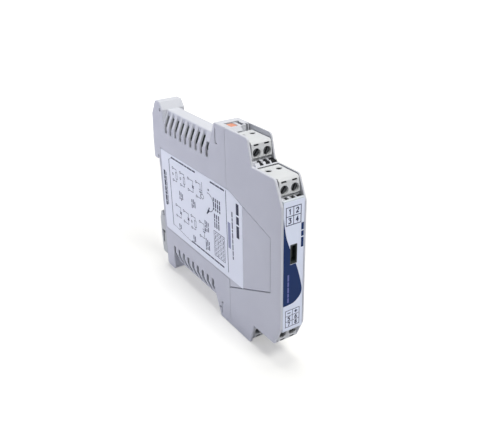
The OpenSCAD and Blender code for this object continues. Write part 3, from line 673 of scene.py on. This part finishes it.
def small_table(depth, height, cell_depth, cell_height, columns, rows):
    """A ruled table down from (depth, height), with a short bar in each cell."""
    front, low = depth - columns * cell_depth, height - rows * cell_height
    shapes = frame_line(front, low, depth, height, FINE_LINE)
    for i in range(1, columns):
        shapes += stroke([(depth - i * cell_depth, low), (depth - i * cell_depth, height)], RULE_LINE)
    for j in range(1, rows):
        shapes += stroke([(front, height - j * cell_height), (depth, height - j * cell_height)], RULE_LINE)
    shortest, longer, half_bar = 0.2, 0.06, 0.3
    for i in range(columns):
        for j in range(rows):
            u, v = depth - (i + 0.5) * cell_depth, height - (j + 0.5) * cell_height
            half = cell_height * (shortest + longer * ((i + 2 * j) % 3))
            shapes.append(bar(u - half_bar, v - half, u + half_bar, v + half))
    return shapes


# Circuits on the side film: the drawing, its depth, height and size
CIRCUITS = (
    (two_wire_input, 93.6, 12.0, 1.5),
    (two_wire_input, 85.4, 12.0, 1.5),
    (junction_input, 77.2, 12.0, 1.5),
    (current_loop, 69.0, 12.2, 1.25),
    (junction_input, 92.4, -8.0, 1.5),
    (junction_input, 84.2, -8.2, 1.5),
    (two_wire_input, 76.0, -8.0, 1.5),
    (current_loop, 67.4, -8.4, 1.3),
)

# Plain lines on the side film: their points and width
CHART_LINES = (
    ([(97.3, 18.6), (97.3, -18.2)], 0.55),
    ([(41.6, 20.9), (41.4, -20.4)], 0.42),
    ([(76.8, -20.3), (97.3, -18.2)], 0.2),
    ([(97.3, 18.6), (94, 20.6)], 0.2),
    ([(57.2, 5.0), (59.4, 3.0), (57.0, 6.6)], 0.7),
    ([(63.4, 17.4), (63.4, 11.8)], FINE_LINE),
)

# Columns of text without letters: depth, top, word lengths, height of a line and gap between words
CHART_COLUMNS = [(depth, top, words, 0.8, 0.4) for depth, top, words in (
    (87.4, 4.6, [2.6, 1.6]), (85.9, 4.2, [2.4, 1.8]), (84.4, 3.8, [3.2]),
    (74.4, 4.8, [1.8, 2.6]), (72.9, 5.2, [2.6, 1.4]), (71.4, 4.4, [3.4]),
    (90.0, -15.0, [2.0, 1.2]), (88.5, -15.2, [2.6]), (74.6, -15.2, [2.6, 1.0]), (73.1, -15.4, [3.2]),
    (61.9, -1.6, [2.2, 1.3, 2.0]), (60.4, -1.8, [3.4, 1.8]), (58.9, -2.0, [2.0, 2.6]),
    (61.8, -11.4, [1.4, 3.0, 1.2]), (60.3, -11.8, [3.4, 1.6]), (58.8, -12.2, [1.8, 2.6]),
)]
CHART_COLUMNS += [(depth, 13.6, [1.8, 2.6, 1.2], 1.0, 0.35) for depth in (52.8, 51.0, 49.2, 47.4)]
CHART_COLUMNS += [(depth, 5.6, [2.4, 1.2, 3.0], 0.9, 0.35) for depth in (52.4, 50.6, 48.8)]
SMALL_COLUMN = (36.7, 12.5, [2.6, 1.6, 3.4, 1.2, 2.8, 2.2, 3.0, 2.4, 1.6], 0.8, 0.4)
BOLD_COLUMNS = (
    (103.6, 11.0, [2.9, 1.9, 3.5, 2.7, 1.7, 3.3, 2.2], 1.8, 0.3),
    (101.8, 10.4, [1.9, 2.9, 2.5, 1.7, 2.7, 2.3, 2.9], 0.7, 0.3),
    (32.2, 18.0, [5.4, 3.8, 6.0], 2.2, 0.8),
)

# Rows of text without letters: height, start, word lengths, height of a line and gap between words
HEADING_ROWS = (
    (20.5, 94.6, [4.4, 3.2, 5.6, 2.6, 4.8, 3.0], 0.85, 0.3),
    (20.5, 55.4, [4.6, 3.4, 4.0], 0.85, 0.3),
    (-19.8, 77.2, [5.0, 3.6, 4.2, 5.4, 3.2, 4.8, 4.0], 0.85, 0.3),
)


def side_chart():
    """The wiring chart: frame lines, small circuits, a dial, a table and lines without letters."""
    shapes = []
    for points, width in CHART_LINES:
        shapes += stroke(points, width)
    for draw, depth, height, size in CIRCUITS:
        shapes += draw(depth, height, size)
    shapes += ring(57.6, 9.4, radius=4.6, width=FINE_LINE, start=80, end=285, steps=24)
    shapes += ring(63.4, 10.2, radius=1.2, width=FINE_LINE)
    shapes += small_table(53.6, -3.6, cell_depth=2.4, cell_height=2.2, columns=4, rows=6)
    for column in CHART_COLUMNS:
        shapes += greek(*column)
    return shapes


def side_small_print():
    """The chart's headings and the fine column beside the code field."""
    shapes = greek(*SMALL_COLUMN)
    for row in HEADING_ROWS:
        shapes += greek_row(*row)
    return shapes


def side_headings():
    """The bold columns at both ends of the film, and the dot over the dial."""
    shapes = [disc(57.2, 15.8, radius=0.6)]
    for column in BOLD_COLUMNS:
        shapes += greek(*column)
    return shapes


CODE_FIELD = [bar(38.4, -6.9, 40.6, 6.3)]

navy_ink = ink("navy_ink", linear(22, 47, 94), shine=0.16)
side_inks = (
    ("side_chart", side_chart(), ink("chart_ink", linear(62, 67, 90))),
    ("side_small_print", side_small_print(), ink("small_print_ink", linear(64, 68, 90))),
    ("side_headings", side_headings(), ink("heading_ink", linear(46, 50, 70))),
    ("side_code_field", CODE_FIELD, ink("pale_ink", linear(160, 166, 194))),
)
for name, shapes, material in side_inks:
    carry(print_piece(name, shapes, on_side, material), "housing")


def smooth_outline(points, steps=8):
    """An open curve through points, eased through each one."""
    out = []
    padded = [points[0]] + points + [points[-1]]
    for p0, p1, p2, p3 in zip(padded, padded[1:], padded[2:], padded[3:]):
        for i in range(steps):
            t = i / steps
            out.append(tuple(
                0.5 * (2 * b + (c - a) * t + (2 * a - 5 * b + 4 * c - d) * t * t
                       + (3 * b - a - 3 * c + d) * t ** 3)
                for a, b, c, d in zip(p0, p1, p2, p3)))
    return out + [points[-1]]


FIELD_LEFT = -5.04
FIELD_EDGE = [
    (FIELD_LEFT, 23.6), (-4.5, 19.4), (-3.6, 14.6), (-2.0, 9.8), (-0.2, 5.2), (1.6, 0.6), (3.4, -5.6),
    (4.55, -11.4), (3.6, -14.4), (0.8, -16.7), (-2.2, -17.3), (FIELD_LEFT, -17.4),
]
NARROWEST_STRIP = 0.02


def colour_field():
    """The dark field down the left of the front film, in strips that stop at the socket's window."""
    edge = smooth_outline(FIELD_EDGE)
    low, high = SOCKET_UP - WINDOW_HALF[1], SOCKET_UP + WINDOW_HALF[1]
    shapes = []
    for (u0, v0), (u1, v1) in zip(edge, edge[1:]):
        if v1 >= v0:
            continue
        if low < (v0 + v1) / 2 < high:
            u0, u1 = min(u0, -WINDOW_HALF[0]), min(u1, -WINDOW_HALF[0])
        if max(u0, u1) - FIELD_LEFT < NARROWEST_STRIP:
            continue
        shapes.append([(FIELD_LEFT, v1), (u1, v1), (u0, v0), (FIELD_LEFT, v0)])
    return shapes


# Terminal numbers on the front film: number, place across and height
UPPER_NUMBERS = ((1, -2.1, 25.8), (2, 1.5, 25.8), (3, -2.1, 21.9), (4, 1.5, 21.9))
LOWER_NUMBERS = ((5, -1.9, -24.25), (6, 1.7, -24.25), (7, -1.9, -27.0), (8, 1.7, -27.0))
# The minus and the plus in the lower grid
POLARITY_SIGNS = ([(-2.5, -21.5), (-1.3, -21.5)], [(1.1, -21.5), (2.3, -21.5)],
                  [(1.7, -20.9), (1.7, -22.1)])
POLARITY_LINE = 0.45


def front_lines():
    """Two grids with the terminals' numbers, and a minus and a plus in the lower one."""
    shapes = frame_line(-3.9, 20.0, 3.3, 27.7, width=0.34)
    for points in ([(-0.3, 20.0), (-0.3, 27.7)], [(-3.9, 23.8), (3.3, 23.8)]):
        shapes += stroke(points, width=0.3)
    shapes += frame_line(-3.7, -28.4, 3.5, -20.1, width=0.26)
    lower_lines = ([(-0.1, -28.4), (-0.1, -20.1)], [(-3.7, -22.87), (3.5, -22.87)],
                   [(-3.7, -25.63), (3.5, -25.63)])
    for points in lower_lines:
        shapes += stroke(points, width=0.22)
    for number, u, v in UPPER_NUMBERS:
        shapes += digit(number, u, v, height=2.0, width=0.46)
    for number, u, v in LOWER_NUMBERS:
        shapes += digit(number, u, v, height=1.6, width=0.42)
    for points in POLARITY_SIGNS:
        shapes += stroke(points, POLARITY_LINE)
    return shapes


front_note = greek(-2.5, -2.6, [3.0, 2.2, 2.6, 1.8, 2.2], height=0.8, gap=0.4)
front_mark = greek(4.2, 19.6, [3.2, 2.4, 4.4], height=1.3, gap=0.5)
front_inks = (
    ("front_field", colour_field(), navy_ink, 0.0),
    ("front_lines", front_lines(), ink("line_ink", linear(40, 44, 82)), 0.0),
    ("front_note", front_note, ink("note_ink", linear(104, 110, 168)), INK),
    ("front_mark", front_mark, navy_ink, 0.0),
)
for name, shapes, material, start in front_inks:
    carry(print_piece(name, shapes, on_front, material, start), "housing")


# Small pieces in the openings. Most are dark pieces that paint shade into notches, slots, holes, pockets
# and a groove

# Black plastic for the dark pieces that paint shade into notches, slots, wire entries and pockets
shade_black = plastic("shade_black_plastic", linear(24, 25, 27), roughness=0.6, grain=0.1, dust_and_shade=0.0, shine=0.15)
# Grey for the painted shade in the side groove
groove_shade_grey = plastic("groove_painted_shade", linear(112, 114, 128), roughness=0.7, grain=0.3, dust_and_shade=0.0)


def along_x(depth, height, across):
    """For an outline seen from the side, run along X."""
    return (across, depth - SEAT_DEPTH, height)


def along_depth(across, height, depth):
    """For an outline seen from the front, run back."""
    return (across, depth - SEAT_DEPTH, height)


def along_height(across, depth, height):
    """For an outline seen from above, run up."""
    return (across, depth - SEAT_DEPTH, height)


def mirrored(points):
    """The same outline for the lower half."""
    return [(depth, -height) for depth, height in points]


def notch_shade_lugs():
    """Painted shade: black lugs sunk in the notches of the bay floors, so that the notches show dark."""
    sunk, clear = 0.45, 0.05
    notch_before, notch_behind, ledge_before = 1.4, 0.9, 2.0
    front = PLUG_FACE - notch_before + clear
    back = PLUG_FACE + notch_behind - clear
    under_front, under_rear = FRONT_BAY_Z - WALL + clear, REAR_BAY_Z - WALL + clear
    top_front, top_rear = FRONT_BAY_Z - sunk, REAR_BAY_Z - sunk
    front_lug = [(front, under_front), (back, under_front), (back, top_front), (front, top_front)]
    ledge = PLUG_FACE + STEP_BACK - ledge_before
    slope, toe, heel = 0.95, PLUG_TOP + 0.25, ledge + 0.1
    rear_lug = [(back + STEP_BACK, under_rear), (back + STEP_BACK, top_rear), (ledge, top_rear),
                (ledge - slope, top_rear - slope), (ledge - slope, toe), (heel, toe), (heel, under_rear)]
    mesh = bmesh.new()
    for outline in (front_lug, rear_lug):
        for x0, x1 in NOTCHES:
            prism(mesh, outline, x0 + clear, x1 - clear, along_x)
            prism(mesh, mirrored(outline), x0 + clear, x1 - clear, along_x)
    return finish_piece("notch_shade_lugs", mesh, shade_black, softened=0.06)


# Painted shade in the plug's face slots: drops of their two sides below the plug's top, half width, place
# and length
SLOT_SHADE_DROPS = (1.71, 0.99)
SLOT_SHADE_HALF = 1.16
SLOT_SHADE_BACK = 0.8
SLOT_SHADE_LENGTH = 3.4
# Painted shade in the wire entries, as dark tubes: place behind the plug's face, radii, drop and length
ENTRY_BACK = 10.9
ENTRY_SHADE_RADII = (1.17, 1.05)
ENTRY_SHADE_DROP = 0.42
ENTRY_SHADE_LENGTH = 3.0


def plug_openings(name, step, level, sign):
    """Painted shade in one plug's openings: dark blocks in its face slots, and dark tubes in its wire
    entries.
    """
    mesh = bmesh.new()
    plug_top = level + PLUG_HEIGHT
    low, high = (plug_top - drop for drop in SLOT_SHADE_DROPS)
    front = PLUG_FACE + step + SLOT_SHADE_BACK
    entry_shade_top = plug_top - ENTRY_SHADE_DROP
    for x in (-POLE_X, POLE_X):
        outline = bar(front, sign * low, front + SLOT_SHADE_LENGTH, sign * high)
        prism(mesh, outline, x - SLOT_SHADE_HALF, x + SLOT_SHADE_HALF, along_x)
        entry = PLUG_FACE + step + ENTRY_BACK
        outer, inner = (disc(x, entry, radius, corners=32) for radius in ENTRY_SHADE_RADII)
        pipe(mesh, outer, inner, sign * (entry_shade_top - ENTRY_SHADE_LENGTH), sign * entry_shade_top, along_height)
    return finish_piece(name, mesh, shade_black, softened=0.03)


def socket_window_shade():
    """A black rim of the socket's plastic between the front film's window and the socket, lining the
    window's walls with painted shade.
    """
    clear, rim, reach = 0.02, 0.4, 0.24
    half_x, half_z = WINDOW_HALF[0] - clear, WINDOW_HALF[1] - clear
    mesh = bmesh.new()
    outer = bar(-half_x, SOCKET_UP - half_z, half_x, SOCKET_UP + half_z)
    inner = bar(rim - half_x, SOCKET_UP + rim - half_z, half_x - rim, SOCKET_UP + half_z - rim)
    pipe(mesh, outer, inner, clear, reach, along_depth)
    return finish_piece("socket_window_shade", mesh, finishes["socket_body"], softened=0.03)


def socket_contacts():
    """Plated contact strips along the near side of the socket's tongue."""
    count, pitch, half_width = 5, 1.0, 0.24
    front, back = 1.75, 7.5
    tongue_x, thickness = -0.09, 0.07
    mesh = bmesh.new()
    for i in range(count):
        middle = SOCKET_UP + (i - (count - 1) / 2) * pitch
        outline = bar(front, middle - half_width, back, middle + half_width)
        prism(mesh, outline, tongue_x - thickness, tongue_x, along_x)
    return finish_piece("socket_contacts", mesh, finishes["pin_brass"])


def pocket_shade_plates():
    """Painted shade: dark plates on the floors of the lever pockets, beside the levers."""
    clear, thickness = 0.02, 0.05
    plate = bar(-0.15, 39.45, 1.25, 45.15)
    bottom = POCKET_FLOOR_Z + clear
    top = bottom + thickness
    mesh = bmesh.new()
    for sign in (1, -1):
        prism(mesh, plate, sign * bottom, sign * top, along_height)
    return finish_piece("pocket_shade_plates", mesh, shade_black)


def on_groove_floor(depth, height, out):
    """A point of the groove's floor, raised by out."""
    return (GROOVE_FLOOR_X - out, depth - SEAT_DEPTH, height)


def groove_shade():
    """Painted shade: a dark strip in the floor of the groove around the side film's field."""
    shapes = stroke([(40.4, 22.4), (7.525, 12.33), (7.525, -13.75), (40.4, -28.2)], width=0.34)
    return print_piece("groove_shade", shapes, on_groove_floor, groove_shade_grey)


carry(notch_shade_lugs(), "housing")
carry(socket_window_shade(), "housing")
carry(socket_contacts(), "housing")
carry(pocket_shade_plates(), "housing")
carry(groove_shade(), "housing")
for end, sign in (("top", 1), ("bottom", -1)):
    for place, step, level in (("front", 0.0, FRONT_BAY_Z), ("rear", STEP_BACK, REAR_BAY_Z)):
        piece = plug_openings("openings_" + end + "_" + place, step, level, sign)
        carry(piece, "terminal_" + end + "_" + place)


def wire_loop(mesh, centre, out, wire_radius, sides):
    """One cross-section of the spring's wire, standing in the plane of out and the height."""
    up = Vector((0, 0, 1))
    angles = [2 * math.pi * k / sides for k in range(sides)]
    return [mesh.verts.new((centre + wire_radius * (math.cos(t) * out + math.sin(t) * up)) * MM)
            for t in angles]


def wound_spring(turns=7, wire_radius=0.25, closed_gap=0.02, sections=26, sides=12):
    """The catch's spring with closed end turns, in the place of the plain one."""
    low, high = (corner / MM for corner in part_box("foot_spring"))
    middle = (low + high) / 2
    radius = (high.x - low.x) / 2 - wire_radius
    rise = high.z - low.z - 2 * wire_radius
    closed_pitch = 2 * wire_radius + closed_gap
    open_pitch = (rise - 2 * closed_pitch) / (turns - 2)
    mesh = bmesh.new()
    loops = []
    for i in range(turns * sections + 1):
        turn = i / sections
        closed_turns = min(turn, 1) + max(turn - turns + 1, 0)
        open_turns = min(max(turn - 1, 0), turns - 2)
        height = low.z + wire_radius + closed_pitch * closed_turns + open_pitch * open_turns
        out = Vector((math.cos(2 * math.pi * turn), math.sin(2 * math.pi * turn), 0))
        centre = Vector((middle.x, middle.y, height)) + out * radius
        loops.append(wire_loop(mesh, centre, out, wire_radius, sides))
    for loop, after in zip(loops, loops[1:]):
        for k in range(sides):
            mesh.faces.new([loop[k], loop[(k + 1) % sides], after[(k + 1) % sides], after[k]])
    mesh.faces.new(loops[0][::-1])
    mesh.faces.new(loops[-1])
    piece = finish_piece("wound_spring", mesh, finishes["spring_steel"])
    for face in piece.data.polygons:
        face.use_smooth = True
    return piece


def shorten_with_catch(spring):
    """Gives the spring a mesh of its own."""
    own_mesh(spring)


spring = wound_spring()
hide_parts("foot_spring")
carry(spring, "housing")
shorten_with_catch(spring)


# Floor and light

# In metres
FLOOR_GAP = 0.02 * MM
FLOOR_Z = cad_bounds[0][2] - FLOOR_GAP
FLOOR_HALF = 6.0
WHITE = (1.0, 1.0, 1.0)


def camera_mask(tree):
    """1 where the camera sees the surface itself, or sees it mirrored or through glass."""
    path = tree.nodes.new("ShaderNodeLightPath")
    seen = math_node(tree, "ADD", path.outputs["Is Camera Ray"], path.outputs["Is Glossy Ray"])
    return math_node(tree, "ADD", seen, path.outputs["Is Transmission Ray"], clamp=True)


def paper_glow(tree, seen, near_glow):
    """How strongly the seen paper glows: near_glow by the object, and 1 from half a metre on."""
    away = tree.nodes.new("ShaderNodeVectorMath")
    away.operation = "LENGTH"
    tree.links.new(object_place(tree), away.inputs[0])
    far = ramp(tree, away.outputs["Value"], low=0.16, high=0.5)
    glow = math_node(tree, "ADD", math_node(tree, "MULTIPLY", far, 1.0 - near_glow), near_glow)
    return math_node(tree, "MULTIPLY", glow, seen)


def add_floor(bounce, seen_colour, near_glow):
    """White paper, clear from below. What the camera sees keeps the shadow, lifted to white by a glow."""
    mesh = bpy.data.meshes.new("floor")
    corners = [(-FLOOR_HALF, -FLOOR_HALF), (FLOOR_HALF, -FLOOR_HALF),
               (FLOOR_HALF, FLOOR_HALF), (-FLOOR_HALF, FLOOR_HALF)]
    mesh.from_pydata([(x, y, FLOOR_Z) for x, y in corners], [], [(0, 1, 2, 3)])
    floor = bpy.data.objects.new("floor", mesh)
    bpy.context.scene.collection.objects.link(floor)
    material, tree, shader = new_material("floor_paper")
    seen = camera_mask(tree)
    colour = blend_colour(tree, seen, bounce + (1.0,), seen_colour + (1.0,))
    tree.links.new(colour, shader.inputs["Base Color"])
    tree.links.new(paper_glow(tree, seen, near_glow), shader.inputs["Emission Strength"])
    shader.inputs["Emission Color"].default_value = WHITE + (1.0,)
    shader.inputs["Roughness"].default_value = 1.0
    shader.inputs["Specular IOR Level"].default_value = 0.0
    under = tree.nodes.new("ShaderNodeNewGeometry").outputs["Backfacing"]
    tree.links.new(math_node(tree, "SUBTRACT", 1.0, under), shader.inputs["Alpha"])
    mesh.materials.append(material)


def add_world(level):
    """White for what is seen and mirrored, and a low grey level for what lights the object."""
    world = bpy.data.worlds.new("studio")
    bpy.context.scene.world = world
    world.use_nodes = True
    tree = world.node_tree
    background = tree.nodes["Background"]
    colour = blend_colour(tree, camera_mask(tree), (level, level, level, 1.0), WHITE + (1.0,))
    tree.links.new(colour, background.inputs["Color"])


def add_softbox(name, toward, level, spread):
    """An even light from a direction. level is what it adds to a white surface that faces it."""
    data = bpy.data.lights.new(name, "SUN")
    data.angle = math.radians(spread)
    data.energy = level * math.pi
    lamp = bpy.data.objects.new(name, data)
    bpy.context.scene.collection.objects.link(lamp)
    lamp.rotation_euler = Vector(toward).to_track_quat("Z", "Y").to_euler()


def add_panel_light(name, place, aim, level, size, colour=WHITE):
    """A square soft light close by, so that its light fades across the object."""
    data = bpy.data.lights.new(name, "AREA")
    data.size = size
    data.color = colour
    reach = Vector(aim) - Vector(place)
    data.energy = level * (math.pi * reach.length) ** 2
    lamp = bpy.data.objects.new(name, data)
    bpy.context.scene.collection.objects.link(lamp)
    lamp.location = place
    lamp.rotation_euler = reach.to_track_quat("-Z", "Y").to_euler()


add_floor(bounce=(0.72, 0.72, 0.78), seen_colour=(0.58, 0.575, 0.545), near_glow=0.42)
add_world(level=0.05)
add_softbox("top_light", toward=(0.08, 0.12, 0.98), level=0.58, spread=30)
add_softbox("front_light", toward=(0.03, -0.5, 0.86), level=0.38, spread=20)
add_panel_light("near_front_light", place=(0.03, -0.33, 0.3), aim=(0.0, -0.1, 0.02), level=0.26, size=0.14)
add_panel_light("left_light", place=(-0.19, 0.045, 0.085), aim=(0.0, 0.0, 0.03), level=0.46, size=0.24,
                colour=(0.77, 0.78, 1.0))

bpy.context.scene.view_settings.view_transform = "Standard"
